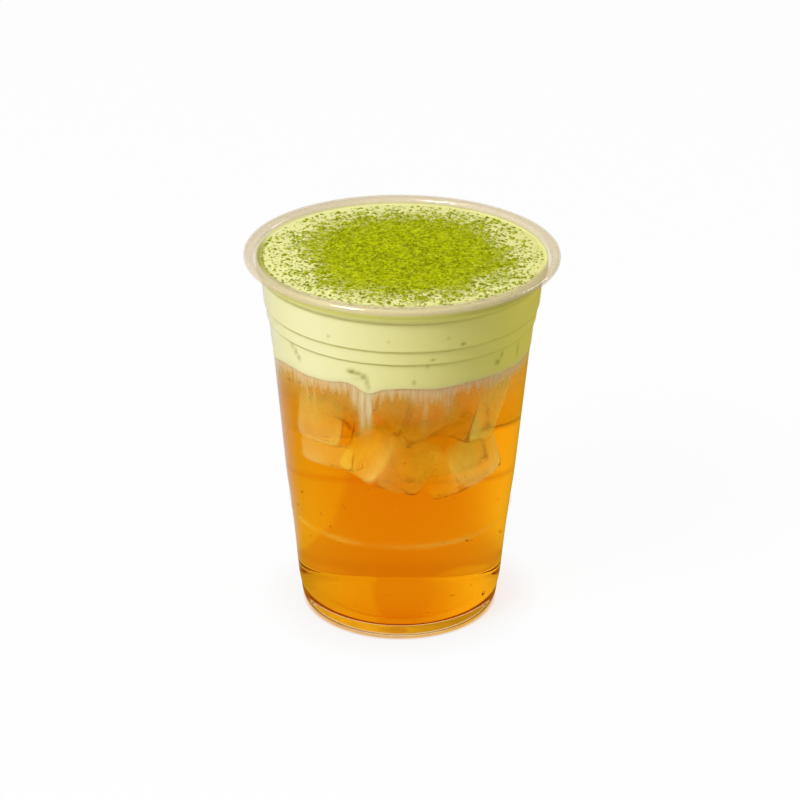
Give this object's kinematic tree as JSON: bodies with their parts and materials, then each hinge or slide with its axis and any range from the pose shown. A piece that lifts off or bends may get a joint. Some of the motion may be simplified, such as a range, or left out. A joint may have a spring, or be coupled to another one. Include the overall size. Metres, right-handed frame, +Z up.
{
  "type": "cheese foam tea",
  "caption": "Iced tea under a thick layer of pale green cheese foam dusted with matcha, in a clear tapered cold-drink cup with a rolled lip.",
  "frame": {"origin": "centre of the ring that the cup stands on, on the table", "axes": "+Z up along the cup's axis; the cup is round, so +X and +Y are any two level directions, with -Y towards the front"},
  "size_m": [0.098, 0.098, 0.1207],
  "materials": {
    "clear_plastic": "clear and glossy, a thin warm tint in the rolled lip",
    "tea": "clear amber iced tea, milky in streaks under the foam",
    "cheese_foam": "smooth whipped cream, pale yellow-green, soft sheen",
    "ice": "clear melting ice, seen through the tea",
    "matcha_powder": "dry fine powder, matte yellow-green"
  },
  "bodies": {
    "root": {"cup": "clear_plastic", "tea": "tea", "foam": "cheese_foam"}
  },
  "joints": []
}
